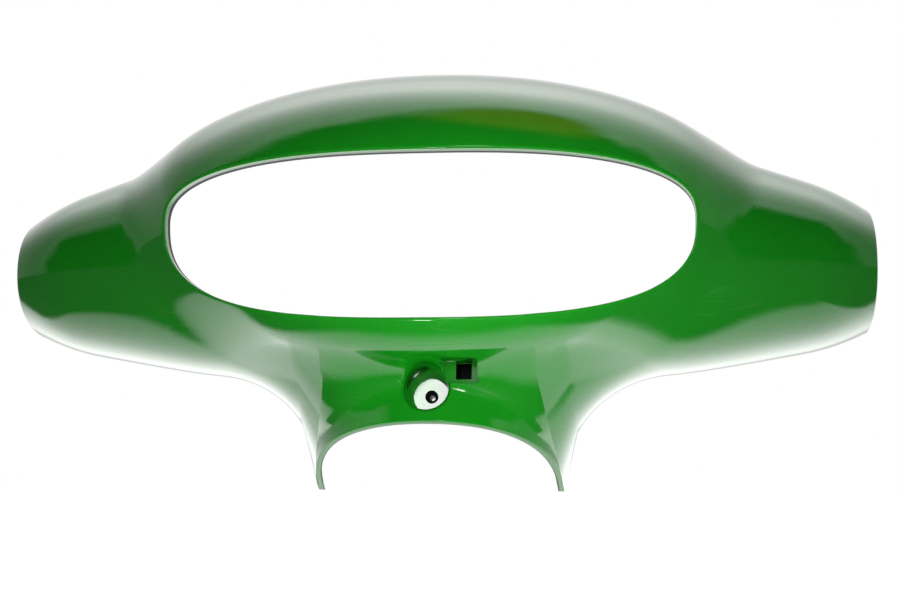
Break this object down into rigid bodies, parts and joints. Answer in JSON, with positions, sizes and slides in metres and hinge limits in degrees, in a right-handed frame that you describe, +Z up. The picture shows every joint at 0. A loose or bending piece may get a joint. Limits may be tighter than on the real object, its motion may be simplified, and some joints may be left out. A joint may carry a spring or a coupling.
{
  "type": "motorcycle headlight cover",
  "caption": "Front handlebar and headlight cover: a glossy moulded shell with a wide oval lamp opening, two half-tube sleeves for the handlebar and a flared neck with a screw well.",
  "frame": {"origin": "where the lamp axis meets the rear parting plane, on the plane of symmetry of the shell", "axes": "+X along the handlebar to the right as seen from the front, +Y to the rear, +Z up; the lamp faces -Y"},
  "size_m": [0.385, 0.0822, 0.1905],
  "materials": {
    "painted_shell": "deep green paint under a clear gloss coat"
  },
  "bodies": {
    "root": {"headlight_cover": "painted_shell"}
  },
  "joints": []
}
